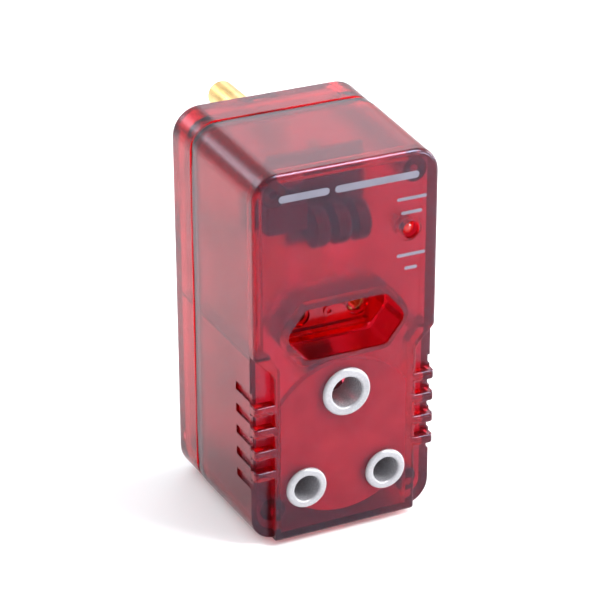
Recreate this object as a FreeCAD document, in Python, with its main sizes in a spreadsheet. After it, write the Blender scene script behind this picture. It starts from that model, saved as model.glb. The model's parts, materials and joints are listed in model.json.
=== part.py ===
import FreeCAD, Part
import Sketcher
import math
import os
from FreeCAD import Placement, Rotation, Vector

# Three-pin surge protector plug with a 16 A round-pin socket and a flat two-pin socket.
# Origin: axis of the earth plug pin on the face that meets the wall outlet.
# +Y runs out of the back along the plug pins, the front faces -Y, +Z is up.
# Every body is drawn with its local y = 0 on the front face of the case and y growing backwards.

NODES = "parts"

SIZES = [
    ("pin_pitch", 25.4, "line to neutral, centre to centre"),
    ("pin_rise", 28.6, "line and neutral row to earth, centre to centre"),
    ("earth_pin_radius", 4.355, "earth plug pin"),
    ("earth_pin_length", 28.6, "earth plug pin beyond the outlet face"),
    ("live_pin_radius", 3.53, "line and neutral plug pins"),
    ("live_pin_length", 21.1, "line and neutral plug pins beyond the outlet face"),
    ("shank_extra", 0.4, "pins are thicker by this much inside the back wall"),
    ("case_width", 57.1, "front face width"),
    ("case_top", 11.1, "top edge above the earth pin axis"),
    ("case_drop", 104.7, "bottom edge below the earth pin axis"),
    ("corner_radius", 7.6, "case corners seen from the front"),
    ("front_fillet", 1.25, "round along the front edge"),
    ("draft_angle", 1.4, "case widens backwards, degrees"),
    ("front_depth", 41.0, "front face to the joint between the shells"),
    ("back_depth", 13.8, "joint between the shells to the back wall"),
    ("pad_depth", 4.6, "raised round pad that meets the outlet"),
    ("wall", 2.2, "case wall"),
    ("column_half", 22.4, "half width of the raised lower front"),
    ("step_depth", 3.3, "grip step behind the front face"),
    ("curve_top", 43.6, "grip step meets the case side, below the pin axis"),
    ("curve_foot", 50.5, "grip step meets the raised column, below the pin axis"),
    ("curve_radius", 4.0, "round at the foot of the slanted step edge"),
    ("rib_first", 60.85, "centre of the top grip rib, below the pin axis"),
    ("rib_pitch", 7.08, "grip rib spacing"),
    ("rib_height", 2.9, "grip rib"),
    ("groove_height", 2.75, "shallow side groove between ribs"),
    ("groove_depth", 0.75, "shallow side groove"),
    ("groove_run", 12.75, "side groove end, from the front face"),
    ("lead_in_inset", 0.3, "front shell narrows by this much at the joint"),
    ("lead_in_run", 4.0, "length of that narrowing"),
    ("edge_round", 0.45, "small rounds on ribs and raised column"),
    ("hex_drop", 39.45, "two-pin socket centre, below the pin axis"),
    ("hex_tip", 19.2, "two-pin recess, half width at the tips"),
    ("hex_flat", 12.6, "two-pin recess, half width at the flats"),
    ("hex_half", 8.1, "two-pin recess, half height"),
    ("hex_depth", 12.0, "two-pin recess"),
    ("hex_wall", 2.1, "wall around the two-pin recess"),
    ("hex_tip_round", 4.0, "round at the tips of the two-pin recess"),
    ("hex_corner_round", 2.4, "round at the other corners of the two-pin recess"),
    ("tray_thick", 2.2, "floor of the two-pin recess"),
    ("two_pin_pitch", 18.6, "two-pin contact spacing"),
    ("socket_drop", 88.5, "line and neutral sockets, below the pin axis"),
    ("earth_rim", 7.5, "earth grommet rim radius"),
    ("earth_tube", 6.2, "earth grommet tube radius"),
    ("earth_bore", 4.75, "earth grommet bore radius"),
    ("live_rim", 6.35, "line and neutral grommet rim radius"),
    ("live_tube", 5.2, "line and neutral grommet tube radius"),
    ("live_bore", 4.0, "line and neutral grommet bore radius"),
    ("rim_rise", 1.0, "grommet rim proud of the front face"),
    ("tube_end", 10.0, "grommet tube end behind the front face"),
    ("snug", 0.05, "gap between parts that hold each other"),
    ("boss_x", 21.5, "screw boss off centre"),
    ("boss_top", 4.6, "upper screw bosses above the pin axis"),
    ("boss_low", 96.1, "lower screw bosses below the pin axis"),
    ("boss_radius", 3.7, "screw boss"),
    ("boss_hole", 1.2, "screw pilot hole radius"),
    ("pilot_start", 3.4, "pilot holes end this far behind the front face"),
    ("boss_end", 38.5, "front screw boss end behind the front face"),
    ("lamp_x", 20.0, "lamp off centre"),
    ("lamp_drop", 13.1, "lamp below the pin axis"),
    ("lamp_hole", 2.6, "lamp hole radius"),
    ("lamp_ring", 4.0, "ring behind the lamp hole"),
    ("lamp_ring_run", 2.6, "length of that ring"),
    ("insert_radius", 24.35, "round plate behind the three-pin socket"),
    ("insert_half", 20.0, "round plate clipped to this half width"),
    ("insert_drop", 75.1, "round plate centre below the pin axis"),
    ("slide_travel", 9.0, "shutter travel, downwards"),
    ("guide_in", 16.6, "shutter guide shelves, inner edge off centre"),
    ("guide_out", 19.4, "shutter guide rails, outer edge off centre"),
    ("guide_low", 13.9, "foot of the guide rails below the round plate's centre"),
    ("guide_high", 7.1, "top of the guide rails above the round plate's centre"),
    ("contact_gap", 0.1, "contact sleeves are this much wider than the pins they take"),
    ("contact_wall", 0.8, "wall of the contact sleeves"),
    ("contact_bore", 2.1, "two-pin contact bore radius"),
    ("strap_thick", 0.7, "strap behind a contact sleeve"),
    ("bar_depth", 49.6, "front face of the connecting bars"),
    ("bar_thick", 1.0, "connecting bar"),
    ("seam_gap", 0.15, "gap between the shells at the joint"),
    ("back_proud", 1.1, "back shell stands out past the front face's outline"),
    ("outlet_pad_radius", 24.0, "raised round pad"),
    ("outlet_pad_drop", 17.0, "raised pad centre below the pin axis"),
    ("pad_wall", 2.4, "wall of the raised pad"),
    ("screw_seat_inset", 5.8, "screw heads sit this far in from the back wall"),
    ("seat_depth", 52.6, "inner face of the back wall, pin flanges sit here"),
    ("board_depth", 15.2, "front face of the circuit board"),
    ("board_thick", 1.6, "circuit board"),
    ("disc_radius", 6.0, "varistor disc"),
    ("disc_thick", 4.3, "varistor disc"),
    ("disc_drop", 10.2, "varistor discs, centre below the pin axis"),
]


class Size:
    """A number together with the sheet formula that gives it."""

    def __init__(self, value, text):
        self.value = float(value)
        self.text = text

    def __add__(self, other):
        other = size(other)
        return Size(self.value + other.value, "(" + self.text + " + " + other.text + ")")

    def __radd__(self, other):
        return size(other) + self

    def __sub__(self, other):
        other = size(other)
        return Size(self.value - other.value, "(" + self.text + " - " + other.text + ")")

    def __rsub__(self, other):
        return size(other) - self

    def __mul__(self, other):
        other = size(other)
        return Size(self.value * other.value, self.text + " * " + other.text)

    def __rmul__(self, other):
        return size(other) * self

    def __truediv__(self, other):
        other = size(other)
        return Size(self.value / other.value, "(" + self.text + " / " + other.text + ")")

    def __neg__(self):
        return Size(-self.value, "(-1 * " + self.text + ")")


def size(number):
    if isinstance(number, Size):
        return number
    if number < 0:
        return Size(number, "(" + repr(float(number)) + ")")
    return Size(number, repr(float(number)))


doc = FreeCAD.newDocument("surge_protector_plug")
sheet = doc.addObject("Spreadsheet::Sheet", "sizes")
named = {}
for row, (alias, value, note) in enumerate(SIZES, start=1):
    sheet.set("A" + str(row), alias)
    sheet.set("B" + str(row), str(value))
    sheet.set("C" + str(row), note)
    sheet.setAlias("B" + str(row), alias)
    named[alias] = Size(value, "sizes." + alias)
doc.recompute()


def g(alias):
    return named[alias]


FACE = g("front_depth") + g("back_depth") + g("pad_depth")
BACK = g("front_depth") + g("back_depth")
HALF = g("case_width") / 2
exported = []


def bind(thing, prop, amount):
    thing.setExpression(prop, size(amount).text)


def place(thing, across=0, up=0, depth=0):
    """Put a part's local origin at the given place, depth measured back from the front face."""
    spot = Vector(size(across).value, (size(depth) - FACE).value, size(up).value)
    thing.Placement = Placement(spot, Rotation())
    bind(thing, "Placement.Base.x", across)
    bind(thing, "Placement.Base.y", size(depth) - FACE)
    bind(thing, "Placement.Base.z", up)


def new_body(label, across=0, up=0, export=True):
    body = doc.addObject("PartDesign::Body", label)
    body.Label = label
    place(body, across, up)
    if export:
        exported.append(body)
    return body


def plane_of(body, role):
    for feature in body.Origin.OriginFeatures:
        if feature.Role == role:
            return feature
    raise RuntimeError(role)


def new_sketch(body, name, depth=0, role="XZ_Plane"):
    """Sketch facing the front, lying the given depth behind the local origin."""
    sketch = body.newObject("Sketcher::SketchObject", name)
    sketch.AttachmentSupport = [(plane_of(body, role), "")]
    sketch.MapMode = "FlatFace"
    if role == "XZ_Plane":
        bind(sketch, "AttachmentOffset.Base.z", -size(depth))
    else:
        bind(sketch, "AttachmentOffset.Base.z", depth)
    return sketch


def hold(sketch, kind, refs, amount):
    """Add one dimension to a sketch and drive it from the sheet."""
    index = sketch.addConstraint(Sketcher.Constraint(kind, *refs, size(amount).value))
    name = kind.lower() + "_" + str(index)
    sketch.renameConstraint(index, name)
    bind(sketch, "Constraints." + name, amount)


def draw_loop(sketch, corners, closed=True):
    """Straight-sided outline through the given corners."""
    points = [Vector(size(a).value, size(b).value, 0) for a, b in corners]
    count = len(points) if closed else len(points) - 1
    first = sketch.GeometryCount
    for i in range(count):
        sketch.addGeometry(Part.LineSegment(points[i], points[(i + 1) % len(points)]), False)
    for i in range(count):
        if closed or i < count - 1:
            after = first + (i + 1) % count
            sketch.addConstraint(Sketcher.Constraint("Coincident", first + i, 2, after, 1))
        hold(sketch, "DistanceX", (-1, 1, first + i, 1), corners[i][0])
        hold(sketch, "DistanceY", (-1, 1, first + i, 1), corners[i][1])
    if not closed:
        hold(sketch, "DistanceX", (-1, 1, first + count - 1, 2), corners[-1][0])
        hold(sketch, "DistanceY", (-1, 1, first + count - 1, 2), corners[-1][1])


def draw_box(sketch, left, right, low, high):
    draw_loop(sketch, [(left, low), (right, low), (right, high), (left, high)])


def draw_round_box(sketch, left, right, low, high, radius):
    """Rectangle with four round corners."""
    first = sketch.GeometryCount
    reach = size(radius).value
    centres = [
        (left + radius, low + radius, 180), (right - radius, low + radius, 270),
        (right - radius, high - radius, 0), (left + radius, high - radius, 90),
    ]
    for across, up, start in centres:
        ring = Part.Circle(Vector(size(across).value, size(up).value, 0), Vector(0, 0, 1), reach)
        sketch.addGeometry(Part.ArcOfCircle(ring, math.radians(start), math.radians(start + 90)), False)
    for i in range(4):
        leave = sketch.getPoint(first + i, 2)
        arrive = sketch.getPoint(first + (i + 1) % 4, 1)
        line = sketch.addGeometry(Part.LineSegment(leave, arrive), False)
        sketch.addConstraint(Sketcher.Constraint("Tangent", first + i, 2, line, 1))
        sketch.addConstraint(Sketcher.Constraint("Tangent", line, 2, first + (i + 1) % 4, 1))
    for i, (across, up, start) in enumerate(centres):
        hold(sketch, "DistanceX", (-1, 1, first + i, 3), across)
        hold(sketch, "DistanceY", (-1, 1, first + i, 3), up)
        hold(sketch, "Radius", (first + i,), radius)


def draw_circle(sketch, across, up, radius):
    centre = Vector(size(across).value, size(up).value, 0)
    index = sketch.addGeometry(Part.Circle(centre, Vector(0, 0, 1), size(radius).value), False)
    hold(sketch, "Radius", (index,), radius)
    hold(sketch, "DistanceX", (-1, 1, index, 3), across)
    hold(sketch, "DistanceY", (-1, 1, index, 3), up)


def finish(body, feature):
    body.Tip = feature
    doc.recompute()
    if feature.Shape.isNull() or not feature.Shape.isValid():
        raise RuntimeError(body.Label + " " + feature.Name)
    return feature


def pad(body, name, sketch, length, taper=None):
    """Add material from the sketch towards the back."""
    feature = body.newObject("PartDesign::Pad", name)
    feature.Profile = sketch
    feature.Reversed = True
    bind(feature, "Length", length)
    if taper is not None:
        bind(feature, "TaperAngle", taper)
    return finish(body, feature)


def cut(body, name, sketch, length):
    """Take material away from the sketch towards the back."""
    before = body.Shape.Volume
    feature = body.newObject("PartDesign::Pocket", name)
    feature.Profile = sketch
    bind(feature, "Length", length)
    finish(body, feature)
    if feature.Shape.Volume > before - 0.01:
        raise RuntimeError("nothing removed by " + body.Label + " " + name)
    return feature


def turn(body, name, sketch):
    """Revolve a profile about the body's own depth axis."""
    feature = body.newObject("PartDesign::Revolution", name)
    feature.Profile = sketch
    feature.ReferenceAxis = (sketch, ["V_Axis"])
    feature.Angle = 360
    return finish(body, feature)


def edges_where(feature, test):
    found = []
    for number, edge in enumerate(feature.Shape.Edges, start=1):
        if test(edge):
            found.append("Edge" + str(number))
    if not found:
        raise RuntimeError("no edge for " + feature.Name)
    return found


def soften(body, name, feature, test, radius):
    """Round the edges that pass the test."""
    fillet = body.newObject("PartDesign::Fillet", name)
    fillet.Base = (feature, edges_where(feature, test))
    bind(fillet, "Radius", radius)
    return finish(body, fillet)


def runs_back(edge):
    """True for a straight edge that runs from front to back."""
    ends = [vertex.Point for vertex in edge.Vertexes]
    if len(ends) != 2:
        return False
    along = (ends[1] - ends[0]).normalize()
    return abs(along.y) > 0.95


def at_depth(edge, depth):
    box = edge.BoundBox
    return abs(box.YMin - depth) < 0.02 and abs(box.YMax - depth) < 0.02


def draw_hex(sketch, tip, flat, half, centre):
    draw_loop(sketch, [
        (-tip, centre), (-flat, centre - half), (flat, centre - half),
        (tip, centre), (flat, centre + half), (-flat, centre + half),
    ])


# ---------------------------------------------------------------- front shell
top = g("case_top")
floor = -g("case_drop")
inner_half = HALF - g("wall")
column = g("column_half")
column_in = column - g("wall")
curve_top = -g("curve_top")
curve_foot = -g("curve_foot")
hex_z = -g("hex_drop")
live_z = -g("socket_drop")
earth_z = live_z + g("pin_rise")
live_x = g("pin_pitch") / 2
pole_x = g("two_pin_pitch") / 2

shell = new_body("front_shell")
outline = new_sketch(shell, "front_outline")
draw_box(outline, -HALF, HALF, floor, top)
block = pad(shell, "front_block", outline, g("front_depth"), g("draft_angle"))
if block.Shape.BoundBox.XLength < g("case_width").value + 1:
    raise RuntimeError("the case must widen backwards")
block = soften(shell, "case_corners", block, runs_back, g("corner_radius"))
block = soften(shell, "front_edge", block, lambda e: at_depth(e, 0), g("front_fillet"))
seam_depth = g("front_depth").value
lead_in = shell.newObject("PartDesign::Chamfer", "rear_lead_in")
lead_in.Base = (block, edges_where(block, lambda e: at_depth(e, seam_depth)))
lead_in.ChamferType = "Two distances"
bind(lead_in, "Size", g("lead_in_inset"))
bind(lead_in, "Size2", g("lead_in_run"))
lead_in.FlipDirection = True
block = finish(shell, lead_in)

# Grip steps on both sides of the lower front, left open where the four ribs stand.
grip = new_sketch(shell, "grip_step")
beyond = HALF + 4
rib_tops = [-g("rib_first") - g("rib_pitch") * i + g("rib_height") / 2 for i in range(4)]
rib_feet = [upper - g("rib_height") for upper in rib_tops]
for side in (-1, 1):
    draw_loop(grip, [
        (column * side, rib_tops[0]), (column * side, curve_foot),
        ((HALF + 0.5) * side, curve_top), (beyond * side, curve_top), (beyond * side, rib_tops[0]),
    ])
    for i in range(3):
        draw_box(grip, column * side, beyond * side, rib_tops[i + 1], rib_feet[i])
    draw_box(grip, column * side, beyond * side, floor - 3, rib_feet[3])
stepped = cut(shell, "grip_steps", grip, g("step_depth"))

foot_z = curve_foot.value
stepped = soften(
    shell, "step_curve", stepped,
    lambda e: runs_back(e) and abs(e.CenterOfMass.z - foot_z) < 0.1
    and abs(abs(e.CenterOfMass.x) - column.value) < 0.1,
    g("curve_radius"))
stepped = soften(
    shell, "step_rounds", stepped,
    lambda e: at_depth(e, 0) and e.CenterOfMass.z < curve_top.value
    and (abs(abs(e.CenterOfMass.x) - column.value) < 0.1 or abs(e.CenterOfMass.x) > column.value)
    and not (e.CenterOfMass.z < floor.value + 2),
    g("edge_round"))

grooves = new_sketch(shell, "side_groove_outline")
for i in range(5):
    middle = -g("rib_first") + g("rib_pitch") * (0.5 - i)
    for side in (-1, 1):
        draw_box(
            grooves, (HALF - g("groove_depth") + 0.15) * side, beyond * side,
            middle - g("groove_height") / 2, middle + g("groove_height") / 2)
grooved = cut(shell, "side_grooves", grooves, g("groove_run"))

# Hollow: the main cavity stops behind the grip step, the front pocket goes on behind the face.
deep = g("step_depth") + g("wall")
cavity = new_sketch(shell, "cavity_outline", deep)
draw_round_box(
    cavity, -inner_half, inner_half, floor + g("wall"), top - g("wall"),
    g("corner_radius") - g("wall"))
hollow = cut(shell, "cavity", cavity, g("front_depth") - deep)
pocket = new_sketch(shell, "face_pocket_outline", g("wall"))
draw_loop(pocket, [
    (-inner_half + 1, top - g("wall") - 1), (-inner_half + 1, curve_top + 1.2),
    (-column_in, curve_foot + 1.0), (-column_in, floor + g("wall")),
    (column_in, floor + g("wall")), (column_in, curve_foot + 1.0),
    (inner_half - 1, curve_top + 1.2), (inner_half - 1, top - g("wall") - 1),
])
hollow = cut(shell, "face_pocket", pocket, deep - g("wall") + 0.1)

# Wall around the two-pin recess, then the recess itself.
sleeve = new_sketch(shell, "recess_wall_outline", 1)
draw_hex(
    sleeve, g("hex_tip") + g("hex_wall") * 1.25, g("hex_flat") + g("hex_wall") * 0.6,
    g("hex_half") + g("hex_wall"), hex_z)
walled = pad(shell, "recess_wall", sleeve, g("hex_depth") - 1)


def round_hex(feature, name, tip, flat, half, tip_round, corner_round):
    """Round the six upright corners of a hexagonal wall or recess."""
    feature = soften(
        shell, name + "_tips", feature,
        lambda e: runs_back(e) and abs(abs(e.CenterOfMass.x) - tip.value) < 0.1
        and abs(e.CenterOfMass.z - hex_z.value) < 0.1, tip_round)
    return soften(
        shell, name + "_corners", feature,
        lambda e: runs_back(e) and abs(abs(e.CenterOfMass.x) - flat.value) < 0.1
        and abs(abs(e.CenterOfMass.z - hex_z.value) - half.value) < 0.1, corner_round)


walled = round_hex(
    walled, "recess_wall", g("hex_tip") + g("hex_wall") * 1.25, g("hex_flat") + g("hex_wall") * 0.6,
    g("hex_half") + g("hex_wall"), g("hex_tip_round") + g("hex_wall"),
    g("hex_corner_round") + g("hex_wall"))
mouth = new_sketch(shell, "recess_outline")
draw_hex(mouth, g("hex_tip"), g("hex_flat"), g("hex_half"), hex_z)
walled = cut(shell, "recess", mouth, g("hex_depth"))
walled = round_hex(
    walled, "recess", g("hex_tip"), g("hex_flat"), g("hex_half"), g("hex_tip_round"),
    g("hex_corner_round"))

# Screw bosses, lamp ring and the bars that stiffen the side walls.
for name, start, up in (("upper", 1.2, g("boss_top")), ("lower", 4.2, -g("boss_low"))):
    posts = new_sketch(shell, name + "_boss_outline", start)
    for side in (-1, 1):
        draw_circle(posts, g("boss_x") * side, up, g("boss_radius"))
    walled = pad(shell, name + "_bosses", posts, g("boss_end") - start)
ring = new_sketch(shell, "lamp_ring_outline", 1.2)
draw_circle(ring, g("lamp_x"), -g("lamp_drop"), g("lamp_ring"))
walled = pad(shell, "lamp_guide", ring, g("lamp_ring_run"))
bars = new_sketch(shell, "side_bar_outline", 4.2)
for side in (-1, 1):
    draw_box(bars, (column - 0.2) * side, (inner_half + 0.6) * side, hex_z - 6.9, hex_z - 6.0)
walled = pad(shell, "side_bars", bars, g("boss_end") - 4.2)
pilots = new_sketch(shell, "pilot_outline", g("pilot_start"))
for side in (-1, 1):
    draw_circle(pilots, g("boss_x") * side, g("boss_top"), g("boss_hole"))
    draw_circle(pilots, g("boss_x") * side, -g("boss_low"), g("boss_hole"))
walled = cut(shell, "pilot_holes", pilots, g("boss_end") - g("pilot_start"))

# Openings for the three grommets and the lamp.
openings = new_sketch(shell, "socket_outline", -1)
draw_circle(openings, 0, earth_z, g("earth_tube") + g("snug"))
for side in (-1, 1):
    draw_circle(openings, live_x * side, live_z, g("live_tube") + g("snug"))
walled = cut(shell, "socket_holes", openings, g("wall") + 1.5)
opening = new_sketch(shell, "lamp_outline", -1)
draw_circle(opening, g("lamp_x"), -g("lamp_drop"), g("lamp_hole"))
walled = cut(shell, "lamp_opening", opening, 9)


# ----------------------------------------------------------------- back shell
back = new_body("back_shell")
proud = g("back_proud")
seam_half = HALF + proud
seam_start = g("front_depth") + g("seam_gap")
back_outline = new_sketch(back, "back_outline", seam_start)
draw_box(back_outline, -seam_half, seam_half, floor - proud, top + proud)
cup = pad(back, "back_block", back_outline, BACK - seam_start, g("draft_angle"))
cup = soften(back, "back_corners", cup, runs_back, g("corner_radius") + 1)
cup = soften(back, "back_edge", cup, lambda e: at_depth(e, BACK.value), 2.0)
rim = new_sketch(back, "rim_outline", g("front_depth"))
draw_round_box(rim, -HALF + 0.1, HALF - 0.1, floor + 0.1, top - 0.1, g("corner_radius"))
cup = pad(back, "rim", rim, 0.6)
tongue = new_sketch(back, "tongue_outline", g("front_depth") - 2)
tongue_half = inner_half - 0.1
tongue_top = top - g("wall") - 0.1
tongue_low = floor + g("wall") + 0.1
draw_round_box(
    tongue, -tongue_half, tongue_half, tongue_low, tongue_top, g("corner_radius") - g("wall"))
cup = pad(back, "tongue", tongue, 2.3)
room = new_sketch(back, "room_outline", g("front_depth") - 2)
draw_round_box(
    room, -tongue_half + 0.8, tongue_half - 0.8, tongue_low + 0.8, tongue_top - 0.8,
    g("corner_radius") - g("wall") - 0.8)
cup = cut(back, "room", room, g("seat_depth") - g("front_depth") + 2)

# Round pad that meets the wall outlet, hollow from inside, with a boss around each pin.
pad_radius = g("outlet_pad_radius")
pad_z = -g("outlet_pad_drop")
disc = new_sketch(back, "outlet_pad_outline", g("seat_depth") + 1)
draw_circle(disc, 0, pad_z, pad_radius)
cup = pad(back, "outlet_pad", disc, FACE - g("seat_depth") - 1)
cup = soften(back, "outlet_pad_edge", cup, lambda e: at_depth(e, FACE.value), 1.0)
dish = new_sketch(back, "pad_hollow_outline", g("seat_depth") - 1)
draw_circle(dish, 0, pad_z, pad_radius - g("pad_wall"))
cup = cut(back, "pad_hollow", dish, FACE - g("seat_depth") + 1 - g("pad_wall"))
seats = new_sketch(back, "pin_seat_outline", g("seat_depth"))
draw_circle(seats, 0, 0, 6.6)
for side in (-1, 1):
    draw_circle(seats, live_x * side, -g("pin_rise"), 6.0)
cup = pad(back, "pin_seats", seats, FACE - g("seat_depth") - 1)
columns = new_sketch(back, "column_outline", g("boss_end") + 0.1)
for side in (-1, 1):
    draw_circle(columns, g("boss_x") * side, g("boss_top"), g("boss_radius"))
    draw_circle(columns, g("boss_x") * side, -g("boss_low"), g("boss_radius"))
cup = pad(back, "screw_columns", columns, g("seat_depth") + 0.5 - g("boss_end"))
back_bars = new_sketch(back, "back_bar_outline", g("front_depth"))
for side in (-1, 1):
    draw_box(back_bars, (column - 0.2) * side, (tongue_half - 0.3) * side, hex_z - 6.9, hex_z - 6.0)
cup = pad(back, "back_bars", back_bars, g("seat_depth") + 0.5 - g("front_depth"))
through = new_sketch(back, "pin_hole_outline", g("seat_depth") - 1)
hole_extra = g("shank_extra") + g("snug")
draw_circle(through, 0, 0, g("earth_pin_radius") + hole_extra)
for side in (-1, 1):
    draw_circle(through, live_x * side, -g("pin_rise"), g("live_pin_radius") + hole_extra)
cup = cut(back, "pin_holes", through, FACE - g("seat_depth") + 2)
screw_seat = BACK - g("screw_seat_inset")
for name, start, radius in (("screw_hole", 38, 1.6), ("head_hole", screw_seat, 2.9)):
    drilled = new_sketch(back, name + "_outline", start)
    for side in (-1, 1):
        draw_circle(drilled, g("boss_x") * side, g("boss_top"), radius)
        draw_circle(drilled, g("boss_x") * side, -g("boss_low"), radius)
    cup = cut(back, name + "s", drilled, BACK - start + 1)


# ------------------------------------------------- grommets, pins, turned parts
def turned(label, across, up, profile, export=True):
    """Body revolved about the depth axis; profile corners are radius and depth."""
    body = new_body(label, across, up, export)
    sketch = new_sketch(body, label + "_profile", 0, "XY_Plane")
    draw_loop(sketch, profile)
    return body, turn(body, label + "_turned", sketch)


def make_grommet(label, across, up, rim_size, tube, bore):
    rise = -g("rim_rise")
    body, feature = turned(label, across, up, [
        (bore, rise), (rim_size, rise), (rim_size, 0), (tube, 0),
        (tube, g("tube_end")), (bore, g("tube_end")),
    ])
    depth = rise.value
    feature = soften(
        body, label + "_outer_round", feature,
        lambda e: at_depth(e, depth) and e.BoundBox.XMax > tube.value, g("rim_rise") * 0.9)
    soften(
        body, label + "_inner_round", feature,
        lambda e: at_depth(e, depth) and e.BoundBox.XMax < bore.value + 0.1, 0.7)


make_grommet("earth_grommet", 0, earth_z, g("earth_rim"), g("earth_tube"), g("earth_bore"))
make_grommet("neutral_grommet", -live_x, live_z, g("live_rim"), g("live_tube"), g("live_bore"))
make_grommet("line_grommet", live_x, live_z, g("live_rim"), g("live_tube"), g("live_bore"))


def make_pin(label, across, up, radius, length, tip_round):
    stub = 2.0
    body, feature = turned(label, across, up, [
        (0, g("seat_depth") - 7.1), (stub, g("seat_depth") - 7.1),
        (stub, g("seat_depth") - 2), (radius + 1.6, g("seat_depth") - 2),
        (radius + 1.6, g("seat_depth")), (radius + g("shank_extra"), g("seat_depth")),
        (radius + g("shank_extra"), FACE), (radius, FACE),
        (radius, FACE + length), (0, FACE + length),
    ])
    end = (FACE + length).value
    soften(body, label + "_tip", feature, lambda e: at_depth(e, end), tip_round)


make_pin("earth_pin", 0, 0, g("earth_pin_radius"), g("earth_pin_length"), 1.3)
for pole, side in (("neutral", -1), ("line", 1)):
    make_pin(
        pole + "_pin", live_x * side, -g("pin_rise"),
        g("live_pin_radius"), g("live_pin_length"), 1.0)


def compound(label, members):
    group = doc.addObject("Part::Compound", label)
    group.Label = label
    group.Links = members
    exported.append(group)
    return group


def make_nut(label, across, up):
    prism = doc.addObject("Part::Prism", label + "_prism")
    prism.Polygon = 6
    prism.Circumradius = 4.0
    bind(prism, "Height", 3.2)
    bore = doc.addObject("Part::Cylinder", label + "_bore")
    bind(bore, "Radius", 2.0 + g("snug"))
    bind(bore, "Height", 3.2)
    nut = doc.addObject("Part::Cut", label)
    nut.Base = prism
    nut.Tool = bore
    place(nut, across, up, g("bar_depth"))
    nut.Placement = Placement(nut.Placement.Base, Rotation(Vector(1, 0, 0), 90))
    return nut


compound("pin_nuts", [
    make_nut("earth_nut", 0, 0),
    make_nut("neutral_nut", -live_x, -g("pin_rise")),
    make_nut("line_nut", live_x, -g("pin_rise")),
])

# Case screws: pan head, thread and a cross slot, one drawn and three mirrored.
screw, shank = turned("case_screw", g("boss_x"), g("boss_top"), [
    (0, screw_seat - 26), (0.9, screw_seat - 24), (1.15, screw_seat - 23),
    (1.15, screw_seat), (2.6, screw_seat), (2.6, screw_seat + 1.2),
    (1.9, screw_seat + 1.8), (0, screw_seat + 1.8),
], export=False)
slots = new_sketch(screw, "cross_slots", screw_seat + 0.8)
draw_loop(slots, [
    (-1.6, -0.3), (-0.3, -0.3), (-0.3, -1.6), (0.3, -1.6), (0.3, -0.3), (1.6, -0.3),
    (1.6, 0.3), (0.3, 0.3), (0.3, 1.6), (-0.3, 1.6), (-0.3, 0.3), (-1.6, 0.3),
])
cut(screw, "cross_slot", slots, 2)


def mirrored(label, source, normal, base):
    copy = doc.addObject("Part::Mirroring", label)
    copy.Source = source
    copy.Normal = normal
    copy.Base = base
    return copy


between = (g("boss_top").value - g("boss_low").value) / 2
screw_left = mirrored("case_screw_left", screw, Vector(1, 0, 0), Vector(0, 0, 0))
screw_low = mirrored("case_screw_low", screw, Vector(0, 0, 1), Vector(0, 0, between))
screw_far = mirrored("case_screw_far", screw_left, Vector(0, 0, 1), Vector(0, 0, between))
compound("case_screws", [screw, screw_left, screw_low, screw_far])


# ------------------------------------------------ three-pin socket, inner parts
insert = new_body("socket_insert", 0, -g("insert_drop"))
plate = new_sketch(insert, "insert_outline", g("wall") + 0.15)
draw_circle(plate, 0, 0, g("insert_radius"))
insert_plate = pad(insert, "insert_plate", plate, 2)
trim = new_sketch(insert, "insert_trim", g("wall"))
for side in (-1, 1):
    draw_box(trim, g("insert_half") * side, 26 * side, -26, 26)
insert_plate = cut(insert, "insert_flats", trim, 3)
rails = new_sketch(insert, "rail_outline", 4)
for side in (-1, 1):
    draw_box(
        rails, (g("guide_out") - 1.8) * side, g("guide_out") * side,
        -g("guide_low"), g("guide_high"))
insert_plate = pad(insert, "rails", rails, 10.6)
for name, start, length in (("ledge", 9.0, 1.3), ("lip", 12.7, 1.9)):
    shelf = new_sketch(insert, name + "_outline", start)
    for side in (-1, 1):
        draw_box(
            shelf, g("guide_in") * side, g("guide_out") * side, -g("guide_low"), g("guide_high"))
    insert_plate = pad(insert, name, shelf, length)
ports = new_sketch(insert, "port_outline", g("wall"))
draw_circle(ports, 0, earth_z + g("insert_drop"), g("earth_tube") + g("snug"))
for side in (-1, 1):
    draw_circle(ports, live_x * side, live_z + g("insert_drop"), g("live_tube") + g("snug"))
insert_plate = cut(insert, "ports", ports, g("tube_end") - g("wall") + 0.4)

# Shutter: two flags close the line and neutral ways, a bridge joins them below the stem, and
# thin arms beside the ways run in the guide rails. Slid down, the flags lie below the ways.
shutter = new_body("shutter", 0, live_z)
flag_in = 8.2
flag_out = 17.3
flag_top = 4.9
flag_low = -4.7
bridge_low = 0.4
arm_in = 16.5
arm_top = 16.5
stem_half = 5.5
leaf_depth = 10.6
leaf_thick = 1.8
ramp_low = g("pin_rise") - g("earth_bore") - 0.25
ramp_top = ramp_low + g("slide_travel") + 0.3
leaf = new_sketch(shutter, "leaf_outline", leaf_depth)
right_edge = [
    (flag_in, bridge_low), (flag_in, flag_low), (flag_out, flag_low), (flag_out, arm_top),
    (arm_in, arm_top), (arm_in, flag_top), (stem_half, flag_top), (stem_half, ramp_low),
]
draw_loop(leaf, right_edge + [(-across, up) for across, up in reversed(right_edge)])
leaf_plate = pad(shutter, "leaf", leaf, leaf_thick)
ramp = new_sketch(shutter, "ramp_outline", -4.5, "YZ_Plane")
draw_loop(ramp, [
    (leaf_depth, ramp_low - 0.5), (leaf_depth, ramp_low),
    (leaf_depth + (ramp_top - ramp_low), ramp_top),
    (leaf_depth + leaf_thick + (ramp_top - ramp_low), ramp_top),
    (leaf_depth + leaf_thick, ramp_low - 0.5),
])
slope = shutter.newObject("PartDesign::Pad", "ramp")
slope.Profile = ramp
bind(slope, "Length", 9)
finish(shutter, slope)

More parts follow.
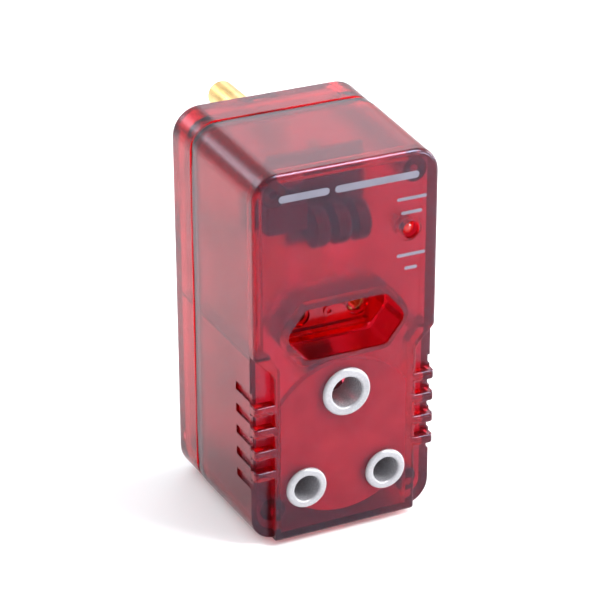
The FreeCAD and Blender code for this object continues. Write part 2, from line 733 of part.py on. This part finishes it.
# Return spring under the shutter, a coil standing on the case floor.
spring = doc.addObject("Part::Feature", "shutter_spring")
spring.Label = "shutter_spring"
spring_low = -g("case_drop").value + g("wall").value + 0.1
spring_top = live_z.value + bridge_low - 0.05
wire = 0.3
coil_radius = 2.1
turns = 6
rise = spring_top - spring_low - 2 * wire
helix = Part.makeHelix(rise / turns, rise, coil_radius)
section = Part.Wire(Part.makeCircle(wire, Vector(coil_radius, 0, 0), Vector(0, 1, 0)))
spring.Shape = Part.Wire(helix.Edges).makePipeShell([section], True, True)
spring_depth = leaf_depth + leaf_thick / 2
spring.Placement = Placement(Vector(0, spring_depth - FACE.value, spring_low + wire), Rotation())
exported.append(spring)

live_contact = g("live_pin_radius") + g("contact_gap")
earth_contact = g("earth_pin_radius") + g("contact_gap")
carrier = new_body("contact_carrier", 0, live_z)
web = new_sketch(carrier, "carrier_outline", 14.65)
draw_loop(web, [
    (-17.3, -11.5), (17.3, -11.5), (17.3, -2), (19.4, -2), (19.4, 9.5), (-19.4, 9.5),
    (-19.4, -2), (-17.3, -2),
])
held = pad(carrier, "carrier_plate", web, 1.8)
cups = new_sketch(carrier, "cup_outline", 14.65)
for side in (-1, 1):
    draw_circle(cups, live_x * side, 0, 5.7)
held = pad(carrier, "cups", cups, 11.5)
ways = new_sketch(carrier, "way_outline", 14)
for side in (-1, 1):
    draw_circle(ways, live_x * side, 0, live_contact + g("contact_wall") + g("snug"))
held = cut(carrier, "ways", ways, 13)


def make_contact(label, across, up, inner, start, end, strap_half):
    """Slit spring sleeve with a strap that runs back to its bar."""
    outer = inner + g("contact_wall")
    body, feature = turned(label, across, up, [
        (inner, start), (outer, start), (outer, end), (inner, end),
    ])
    slit = new_sketch(body, label + "_slit_outline", size(start) - 1)
    draw_box(slit, -0.6, 0.6, -outer - 1, 0)
    cut(body, label + "_slit", slit, size(end) - start + 2)
    strap_start = size(end) - 1.5
    strap_foot = inner + g("snug")
    strap = new_sketch(body, label + "_strap_outline", strap_start)
    draw_box(strap, -strap_half, strap_half, strap_foot, strap_foot + g("strap_thick"))
    pad(body, label + "_strap", strap, g("bar_depth") - strap_start)


for pole, side in (("neutral", -1), ("line", 1)):
    make_contact(pole + "_sleeve", live_x * side, live_z, live_contact, 16.6, 28.0, 1.6)
    make_contact(
        "two_pin_" + pole + "_contact", pole_x * side, hex_z, g("contact_bore"), 14.3, 26.0, 1.0)
make_contact("earth_sleeve", 0, earth_z, earth_contact, 22.8, 33.0, 2.0)

# Floor of the two-pin recess with dished contact holes and a slot under it.
tray = new_body("two_pin_floor", 0, hex_z)
tray_sketch = new_sketch(tray, "tray_outline", g("hex_depth") + 0.02)
draw_loop(tray_sketch, [
    (-g("hex_tip") - 1.6, 0), (-g("hex_flat") - 1.9, -g("hex_half") + 1.4),
    (g("hex_flat") + 1.9, -g("hex_half") + 1.4), (g("hex_tip") + 1.6, 0),
    (g("hex_flat") + 1, g("hex_half") + 1.4), (-g("hex_flat") - 1, g("hex_half") + 1.4),
])
tray_plate = pad(tray, "tray", tray_sketch, g("tray_thick"))
lip_half = g("hex_flat") + 1.0
lip_start = g("hex_depth") + g("tray_thick") - 0.2
skirt = new_sketch(tray, "skirt_outline", lip_start)
draw_box(skirt, -lip_half, lip_half, -g("hex_half") - 1.6, -g("hex_half") + 2.4)
tray_plate = pad(tray, "skirt", skirt, g("tray_thick"))
stud = new_sketch(tray, "stud_outline", g("hex_depth") - 0.5)
draw_circle(stud, 0, 0, 1.6)
tray_plate = pad(tray, "centre_stud", stud, 1)
dimple = new_sketch(tray, "dimple_outline", g("hex_depth") - 1)
draw_circle(dimple, 0, 0, 0.8)
tray_plate = cut(tray, "centre_dimple", dimple, 1.3)
dishes = new_sketch(tray, "dish_outline", g("hex_depth") - 1)
for side in (-1, 1):
    draw_circle(dishes, pole_x * side, 0, 3.4)
tray_plate = cut(tray, "dishes", dishes, 2.0)
holes = new_sketch(tray, "contact_hole_outline", g("hex_depth"))
for side in (-1, 1):
    draw_circle(holes, pole_x * side, 0, 2.5)
tray_plate = cut(tray, "contact_holes", holes, 3)


# ------------------------------------------------------------- connecting bars
def make_bar(label, across, up, half, low, high, hole):
    body = new_body(label, across, up)
    strip = new_sketch(body, label + "_outline", g("bar_depth"))
    draw_box(strip, -half, half, low, high)
    pad(body, label + "_strip", strip, g("bar_thick"))
    pierced = new_sketch(body, label + "_hole_outline", g("bar_depth") - 1)
    draw_circle(pierced, 0, 0, hole)
    cut(body, label + "_hole", pierced, 3)


make_bar("earth_bar", 0, 0, 4.2, earth_z + 3.2, 5.0, 2.0 + g("snug"))
for pole, side in (("neutral", -1), ("line", 1)):
    make_bar(
        pole + "_bar", live_x * side, -g("pin_rise"), 4.6,
        -g("socket_drop") + g("pin_rise") + 2.4, 6.2, 2.0 + g("snug"))

# ------------------------------------------------------------ protection board
board = new_body("circuit_board")
board_sketch = new_sketch(board, "board_outline", g("board_depth"))
draw_loop(board_sketch, [
    (-23, -10), (-12, -10), (-12, -17.6), (12, -17.6), (12, 7.8), (-17.2, 7.8),
    (-17.2, 0.3), (-23, 0.3),
])
pad(board, "board", board_sketch, g("board_thick"))

# Three upright discs stand side by side in front of the board.
discs = []
for number, across in enumerate((-5.6, 0.9, 7.2), start=1):
    disc_body = doc.addObject("Part::Cylinder", "varistor_disc_" + str(number))
    bind(disc_body, "Radius", g("disc_radius"))
    bind(disc_body, "Height", g("disc_thick"))
    place(
        disc_body, across - g("disc_thick") / 2, -g("disc_drop"),
        g("board_depth") - g("disc_radius") - 0.3)
    disc_body.Placement = Placement(disc_body.Placement.Base, Rotation(Vector(0, 1, 0), 90))
    smooth = doc.addObject("Part::Fillet", "varistor_form_" + str(number))
    doc.recompute()
    smooth.Base = disc_body
    smooth.Edges = [(1, 1.5, 1.5), (3, 1.5, 1.5)]
    discs.append(smooth)
compound("varistors", discs)

block_part = new_body("film_capacitor")
block_sketch = new_sketch(block_part, "capacitor_outline", 4.6)
draw_box(block_sketch, -22.6, -10.2, -8.8, 0.2)
block_pad = pad(block_part, "capacitor_block", block_sketch, g("board_depth") - 4.65)
soften(block_part, "capacitor_edges", block_pad, lambda e: e.Length > 5, 0.8)

fuse_body = doc.addObject("Part::Cylinder", "thermal_fuse")
fuse_body.Label = "thermal_fuse"
fuse_body.Radius = 1.9
fuse_body.Height = 7.6
fuse_body.Placement = Placement(
    Vector(-16.4, g("board_depth").value - 1.95 - FACE.value, 3.6), Rotation(Vector(0, 1, 0), 90))
exported.append(fuse_body)

lamp, lamp_dome = turned("lamp", g("lamp_x"), -g("lamp_drop"), [
    (0, 1.4), (2.5, 1.4), (2.5, 7.1), (2.95, 7.1), (2.95, 8.1), (0, 8.1),
])
lamp_dome = soften(lamp, "lamp_dome", lamp_dome, lambda e: at_depth(e, 1.4), 2.3)
legs = new_sketch(lamp, "leg_outline", 8)
for side in (-1, 1):
    draw_box(legs, 1.27 * side - 0.25, 1.27 * side + 0.25, -0.25, 0.25)
pad(lamp, "legs", legs, 6)


def make_lead(label, across, radius, path):
    """Insulated wire swept along a bent path in an upright plane."""
    body = new_body(label, across, 0)
    spine = new_sketch(body, label + "_path", 0, "YZ_Plane")
    draw_loop(spine, path, closed=False)
    profile = new_sketch(body, label + "_section", path[0][0])
    draw_circle(profile, 0, path[0][1], radius)
    pipe = body.newObject("PartDesign::AdditivePipe", label + "_sweep")
    pipe.Profile = profile
    pipe.Spine = spine
    pipe.Transition = "Round corner"
    finish(body, pipe)


behind = g("board_depth") + g("board_thick")
bar_end = g("bar_depth") - g("snug")
make_lead("line_lead", 10.6, 1.0, [(behind, -7), (28, -7), (38, -23.9), (bar_end, -23.9)])
make_lead("neutral_lead", -10.6, 1.0, [(behind, -7), (28, -7), (38, -23.9), (bar_end, -23.9)])
make_lead("earth_lead", 2.6, 1.0, [(behind, 4), (28, 4), (38, -9), (bar_end, -9)])

doc.recompute()
for item in doc.Objects:
    if "Invalid" in item.State or "Error" in item.State:
        raise RuntimeError("bad state: " + item.Label)
for part in exported:
    if part.Shape.isNull() or not part.Shape.isValid():
        raise RuntimeError("bad shape: " + part.Label)

os.makedirs(NODES, exist_ok=True)
for part in exported:
    part.Shape.exportStep(os.path.join(NODES, part.Label + ".step"))
    box = part.Shape.BoundBox
    print(part.Label, round(part.Shape.Volume, 1), [round(v, 2) for v in (
        box.XMin, box.XMax, box.YMin, box.YMax, box.ZMin, box.ZMax)])
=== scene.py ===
import bpy
import json
import math
from mathutils import Matrix, Vector


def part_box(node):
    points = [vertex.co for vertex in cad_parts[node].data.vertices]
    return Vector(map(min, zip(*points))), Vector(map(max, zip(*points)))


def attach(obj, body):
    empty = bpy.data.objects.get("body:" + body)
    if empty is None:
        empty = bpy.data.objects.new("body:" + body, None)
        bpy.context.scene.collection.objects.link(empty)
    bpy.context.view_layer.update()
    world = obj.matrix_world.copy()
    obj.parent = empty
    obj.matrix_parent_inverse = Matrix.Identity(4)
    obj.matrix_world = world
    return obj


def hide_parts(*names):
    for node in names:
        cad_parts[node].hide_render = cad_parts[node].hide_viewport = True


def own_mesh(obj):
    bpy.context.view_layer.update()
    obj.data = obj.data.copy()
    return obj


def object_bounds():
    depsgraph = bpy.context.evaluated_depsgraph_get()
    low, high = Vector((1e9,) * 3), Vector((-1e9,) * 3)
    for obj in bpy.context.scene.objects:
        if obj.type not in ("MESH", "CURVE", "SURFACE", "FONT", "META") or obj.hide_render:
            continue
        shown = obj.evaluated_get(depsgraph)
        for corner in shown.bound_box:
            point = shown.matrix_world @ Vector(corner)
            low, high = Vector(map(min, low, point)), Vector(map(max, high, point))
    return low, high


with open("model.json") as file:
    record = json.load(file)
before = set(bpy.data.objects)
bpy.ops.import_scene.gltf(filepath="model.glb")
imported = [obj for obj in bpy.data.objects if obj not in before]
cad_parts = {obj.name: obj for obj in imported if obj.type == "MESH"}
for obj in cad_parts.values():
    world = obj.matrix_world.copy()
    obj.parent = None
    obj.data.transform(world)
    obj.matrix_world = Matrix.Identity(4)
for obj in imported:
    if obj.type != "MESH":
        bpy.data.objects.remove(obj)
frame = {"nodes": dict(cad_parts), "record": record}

nodes = frame["nodes"]
cad_low, cad_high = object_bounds()
MM = 0.001
scene = bpy.context.scene

# The front plane and the flat two-pin recess cut into it, in millimetres.
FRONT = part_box("front_shell")[0].y / MM
RECESS_Z = -39.45
RECESS_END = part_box("two_pin_floor")[1].y / MM
RECESS_HALF_WIDTH = 20.5
RECESS_HALF_HEIGHT = 8.6
EDGE_MARGIN = 0.25
FLOOR_MARGIN = 0.3


# ------------------------------------------------------------------ materials
def new_material(name, **values):
    """Principled material with plain values on its own sockets."""
    material = bpy.data.materials.new(name)
    material.use_nodes = True
    tree = material.node_tree
    shader = tree.nodes["Principled BSDF"]
    for key, value in values.items():
        shader.inputs[key.replace("_", " ")].default_value = value
    return material, tree, shader


def add(tree, kind, **values):
    """New shader node with the given properties."""
    node = tree.nodes.new(kind)
    for key, value in values.items():
        setattr(node, key, value)
    return node


def grain(tree, scale, detail=3.0, rough=0.6):
    """Noise in object space; scale is in features per metre."""
    place = add(tree, "ShaderNodeTexCoord")
    noise = add(tree, "ShaderNodeTexNoise")
    noise.inputs["Scale"].default_value = scale
    noise.inputs["Detail"].default_value = detail
    noise.inputs["Roughness"].default_value = rough
    tree.links.new(place.outputs["Object"], noise.inputs["Vector"])
    return noise.outputs["Fac"]


def spread(tree, value, low, high, from_low=0.3, from_high=0.7):
    """Stretch a 0-1 value to a wanted range."""
    node = add(tree, "ShaderNodeMapRange")
    node.inputs["From Min"].default_value = from_low
    node.inputs["From Max"].default_value = from_high
    node.inputs["To Min"].default_value = low
    node.inputs["To Max"].default_value = high
    tree.links.new(value, node.inputs["Value"])
    return node.outputs["Result"]


def blend(tree, factor, first, second):
    """Colour mix; first and second are colours or sockets."""
    node = add(tree, "ShaderNodeMix", data_type="RGBA")
    tree.links.new(factor, node.inputs["Factor"])
    for name, value in (("A", first), ("B", second)):
        socket = [s for s in node.inputs if s.name == name and s.type == "RGBA"][0]
        if isinstance(value, (tuple, list)):
            socket.default_value = value
        else:
            tree.links.new(value, socket)
    return [s for s in node.outputs if s.type == "RGBA"][0]


def bump(tree, shader, height, strength, distance):
    """Shade the surface as if it followed the height value."""
    node = add(tree, "ShaderNodeBump")
    node.inputs["Strength"].default_value = strength
    node.inputs["Distance"].default_value = distance
    tree.links.new(height, node.inputs["Height"])
    tree.links.new(node.outputs["Normal"], shader.inputs["Normal"])


def math_node(tree, operation, first, second=None):
    """One arithmetic step on numbers or sockets."""
    node = add(tree, "ShaderNodeMath", operation=operation)
    for index, value in enumerate((first, second)):
        if value is None:
            continue
        if isinstance(value, (int, float)):
            node.inputs[index].default_value = value
        else:
            tree.links.new(value, node.inputs[index])
    return node.outputs["Value"]


def axes(tree):
    """The object-space coordinates in millimetres."""
    place = add(tree, "ShaderNodeTexCoord")
    split = add(tree, "ShaderNodeSeparateXYZ")
    tree.links.new(place.outputs["Object"], split.inputs["Vector"])
    return [math_node(tree, "MULTIPLY", split.outputs[i], 1000.0) for i in range(3)]


def plastic(name, colour, rough, grain_scale=1800.0, depth=0.00002, vary=0.12, **values):
    """Moulded plastic: slightly uneven colour and gloss over a fine grain."""
    material, tree, shader = new_material(name, **values)
    broad = grain(tree, grain_scale / 25)
    fine = grain(tree, grain_scale)
    dark = tuple(c * (1 - vary) for c in colour[:3]) + (1,)
    light = tuple(min(1, c * (1 + vary)) for c in colour[:3]) + (1,)
    tree.links.new(blend(tree, spread(tree, broad, 0, 1), dark, light), shader.inputs["Base Color"])
    tree.links.new(spread(tree, fine, rough * 0.85, rough * 1.2), shader.inputs["Roughness"])
    bump(tree, shader, fine, 0.3, depth)
    return material


def metal(name, dark, light, rough, scale=900.0, stretch=(1, 1, 1)):
    """Metal with drawn streaks and a little tarnish."""
    material, tree, shader = new_material(name, Metallic=1.0)
    place = add(tree, "ShaderNodeTexCoord")
    squeeze = add(tree, "ShaderNodeMapping")
    squeeze.inputs["Scale"].default_value = stretch
    tree.links.new(place.outputs["Object"], squeeze.inputs["Vector"])
    streak = add(tree, "ShaderNodeTexNoise")
    streak.inputs["Scale"].default_value = scale
    streak.inputs["Detail"].default_value = 4
    tree.links.new(squeeze.outputs["Vector"], streak.inputs["Vector"])
    tarnish = grain(tree, 120.0)
    tree.links.new(blend(tree, spread(tree, tarnish, 0, 1), dark, light), shader.inputs["Base Color"])
    tree.links.new(spread(tree, streak.outputs["Fac"], rough * 0.7, rough * 1.4), shader.inputs["Roughness"])
    bump(tree, shader, streak.outputs["Fac"], 0.25, 0.00002)
    return material


def recess_mask(tree):
    """1 inside the polished two-pin recess, 0 on the frosted outside."""
    x, y, z = axes(tree)
    inside_x = math_node(tree, "LESS_THAN", math_node(tree, "ABSOLUTE", x), RECESS_HALF_WIDTH)
    from_centre = math_node(tree, "ABSOLUTE", math_node(tree, "SUBTRACT", z, RECESS_Z))
    inside_z = math_node(tree, "LESS_THAN", from_centre, RECESS_HALF_HEIGHT)
    behind = math_node(tree, "GREATER_THAN", y, FRONT + EDGE_MARGIN)
    before = math_node(tree, "LESS_THAN", y, RECESS_END + FLOOR_MARGIN)
    across = math_node(tree, "MULTIPLY", inside_x, inside_z)
    return math_node(tree, "MULTIPLY", across, math_node(tree, "MULTIPLY", behind, before))


def red_case(name, density=700.0, all_polished=False):
    """Translucent red moulding: frosted outside, polished inside the two-pin recess."""
    material, tree, shader = new_material(
        name, Transmission_Weight=1.0, IOR=1.47, Specular_Tint=(0.58, 0.62, 0.88, 1.0))
    fine = grain(tree, 1700.0, 2.0, 0.5)
    broad = grain(tree, 60.0)
    glossy = spread(tree, fine, 0.08, 0.13)
    if all_polished:
        tree.links.new(glossy, shader.inputs["Roughness"])
    else:
        polished = recess_mask(tree)
        matt = math_node(tree, "SUBTRACT", 1.0, polished)
        frosted = spread(tree, fine, 0.23, 0.27)
        rough = math_node(tree, "ADD", math_node(tree, "MULTIPLY", frosted, matt),
                          math_node(tree, "MULTIPLY", glossy, polished))
        tree.links.new(rough, shader.inputs["Roughness"])
        bump(tree, shader, math_node(tree, "MULTIPLY", fine, matt), 0.015, 0.00003)
    tint = blend(tree, spread(tree, broad, 0, 1), (0.56, 0.26, 0.40, 1), (0.64, 0.33, 0.47, 1))
    tree.links.new(tint, shader.inputs["Base Color"])
    depth = add(tree, "ShaderNodeVolumeAbsorption")
    depth.inputs["Color"].default_value = (0.985, 0.05, 0.18, 1)
    depth.inputs["Density"].default_value = density
    output = [node for node in tree.nodes if node.type == "OUTPUT_MATERIAL"][0]
    tree.links.new(depth.outputs["Volume"], output.inputs["Volume"])
    return material


materials = {
    "red_shell": red_case("case_red"),
    "grey_grommet": plastic(
        "grommet_grey", (0.33, 0.325, 0.345), 0.26, Coat_Weight=0.35, Coat_Roughness=0.12),
    "brass": metal("pin_brass", (0.72, 0.47, 0.16, 1), (0.90, 0.66, 0.30, 1), 0.30, 1500, (1, 0.12, 1)),
    "steel": metal("screw_steel", (0.42, 0.43, 0.45, 1), (0.66, 0.66, 0.68, 1), 0.34),
    "inner_plastic": plastic("inner_natural", (0.84, 0.62, 0.66), 0.5),
    "shutter_plastic": plastic("shutter_dark", (0.10, 0.02, 0.03), 0.45),
    "board": plastic("board_mask", (0.05, 0.09, 0.04), 0.4),
    "varistor": plastic("varistor_coating", (0.03, 0.035, 0.06), 0.3),
    "capacitor": plastic("capacitor_box", (0.06, 0.045, 0.05), 0.35),
    "fuse": plastic("fuse_ceramic", (0.40, 0.36, 0.30), 0.55),
    "lamp": plastic("lamp_resin", (0.75, 0.03, 0.03), 0.12, Transmission_Weight=0.6, IOR=1.5),
    "lead_brown": plastic("lead_brown", (0.16, 0.06, 0.03), 0.4),
    "lead_blue": plastic("lead_blue", (0.03, 0.09, 0.35), 0.4),
    "lead_green": plastic("lead_green", (0.12, 0.32, 0.05), 0.4),
}
own_material = {"two_pin_floor": red_case("recess_floor_red", 3600.0, True)}
slot_of = {part["node"]: part["material_slot"] for part in frame["record"]["subparts"]}
for name, node in nodes.items():
    node.data.materials.clear()
    node.data.materials.append(own_material.get(name, materials[slot_of[name]]))


# ---------------------------------------------------------- the return spring
# It stands on its lower end; its mesh is a copy of the drawn spring, fixed to the case.
drawn_spring = nodes["shutter_spring"]
spring = bpy.data.objects.new("return_spring", drawn_spring.data.copy())
scene.collection.objects.link(spring)
spring.matrix_world = drawn_spring.matrix_world.copy()
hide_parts("shutter_spring")
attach(spring, "case")
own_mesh(spring)

# -------------------------------------------------------------- printed marks
def printed_bar(name, across, up, width, height):
    """Thin film of ink with round ends, standing just proud of the front face."""
    film = 0.05
    steps = 8
    radius = height / 2
    outline = []
    for side in (1, -1):
        centre_x = across + side * (width / 2 - radius)
        for step in range(steps + 1):
            angle = math.pi * (step / steps - 0.5)
            outline.append((centre_x + side * radius * math.cos(angle),
                            up + side * radius * math.sin(angle)))
    mesh = bpy.data.meshes.new(name)
    count = len(outline)
    corners = []
    for depth in (FRONT - film, FRONT - film * 0.2):
        corners += [(x * MM, depth * MM, z * MM) for x, z in outline]
    faces = [tuple(range(count)), tuple(range(2 * count - 1, count - 1, -1))]
    faces += [(i, i + count, (i + 1) % count + count, (i + 1) % count) for i in range(count)]
    mesh.from_pydata(corners, [], faces)
    mesh.validate()
    piece = bpy.data.objects.new(name, mesh)
    scene.collection.objects.link(piece)
    mesh.materials.append(ink)
    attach(piece, "case")
    return piece


ink = plastic("ink_lilac_grey", (0.135, 0.128, 0.17), 0.5, 2600.0, 0.00001)
lamp_low, lamp_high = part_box("lamp")
LAMP_X = (lamp_low.x + lamp_high.x) / 2 / MM
LAMP_Z = (lamp_low.z + lamp_high.z) / 2 / MM
TITLE_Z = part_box("front_shell")[1].z / MM - 8.3
printed_bar("mark_title_left", -13.2, TITLE_Z, 15.4, 2.2)
printed_bar("mark_title_right", 9.2, TITLE_Z, 26.0, 2.2)
LAMP_MARKS = (
    ("mark_above_lamp_1", 9.9, 9.4),
    ("mark_above_lamp_2", 5.6, 6.6),
    ("mark_below_lamp_1", -7.4, 9.0),
    ("mark_below_lamp_2", -11.6, 4.0),
)
for name, rise, width in LAMP_MARKS:
    printed_bar(name, LAMP_X, LAMP_Z + rise, width, 1.0)

# ------------------------------------------------------------------ the stage
floor_z = cad_low[2] - 0.0002
bpy.ops.mesh.primitive_plane_add(size=6.0, location=(0, 0, floor_z))
floor = bpy.context.object
floor.name = "stage_floor"
floor_material, floor_tree, floor_shader = new_material("stage_white", Roughness=0.7)
floor_shader.inputs["Base Color"].default_value = (0.93, 0.93, 0.93, 1)
floor.data.materials.append(floor_material)


def area_light(name, place, target, size, power, colour=(1, 1, 1)):
    """Rectangular studio light aimed at a target point."""
    data = bpy.data.lights.new(name, "AREA")
    data.shape = "RECTANGLE"
    data.size, data.size_y = size
    data.energy = power
    data.color = colour
    lamp = bpy.data.objects.new(name, data)
    scene.collection.objects.link(lamp)
    lamp.location = place
    aim = Vector(target) - Vector(place)
    lamp.rotation_euler = aim.to_track_quat("-Z", "Y").to_euler()
    return lamp


centre = (0, -0.03, -0.045)
above = (0.42, -0.50, 0.85)
area_light("key_above", above, centre, (0.20, 0.60), 6)
# The glint is only seen in reflections: it draws the bright line on the top front edge.
glint = area_light("edge_glint", above, centre, (0.36, 0.80), 26)
glint.visible_diffuse = False
glint.visible_transmission = False
area_light("right_front", (0.48, -0.62, -0.02), centre, (0.22, 0.30), 4, (0.95, 0.97, 1.0))
area_light("right_back", (0.45, 0.72, 0.50), centre, (0.5, 0.5), 1.2, (0.90, 0.95, 1.0))
area_light("right_side", (0.80, -0.10, 0.12), centre, (0.4, 0.5), 9)
area_light("left_back", (-0.45, 0.55, 0.45), (-0.10, 0.15, -0.10), (0.4, 0.4), 3)
world = bpy.data.worlds.new("studio")
scene.world = world
world.use_nodes = True
world.node_tree.nodes["Background"].inputs["Color"].default_value = (0.95, 0.965, 1.0, 1)
world.node_tree.nodes["Background"].inputs["Strength"].default_value = 1.0

# ----------------------------------------------------------------- the camera
AZIMUTH = math.radians(25.10)
ELEVATION = math.radians(26.28)
ROLL = math.radians(-0.15)
CAMERA_PLACE = Vector((-280.09, -626.29, 281.37)) * MM
forward = Vector((
    math.sin(AZIMUTH) * math.cos(ELEVATION), math.cos(AZIMUTH) * math.cos(ELEVATION),
    -math.sin(ELEVATION)))
right = forward.cross(Vector((0, 0, 1))).normalized()
up = right.cross(forward)
turned_right = right * math.cos(ROLL) + up * math.sin(ROLL)
turned_up = up * math.cos(ROLL) - right * math.sin(ROLL)
camera_data = bpy.data.cameras.new("photo_camera")
camera_data.lens = 150.66
camera_data.sensor_width = 36.0
camera_data.clip_start = 0.01
camera = bpy.data.objects.new("photo_camera", camera_data)
scene.collection.objects.link(camera)
pose = Matrix((turned_right, turned_up, -forward)).transposed().to_4x4()
pose.translation = CAMERA_PLACE
camera.matrix_world = pose
scene.camera = camera

scene.view_settings.view_transform = "Standard"
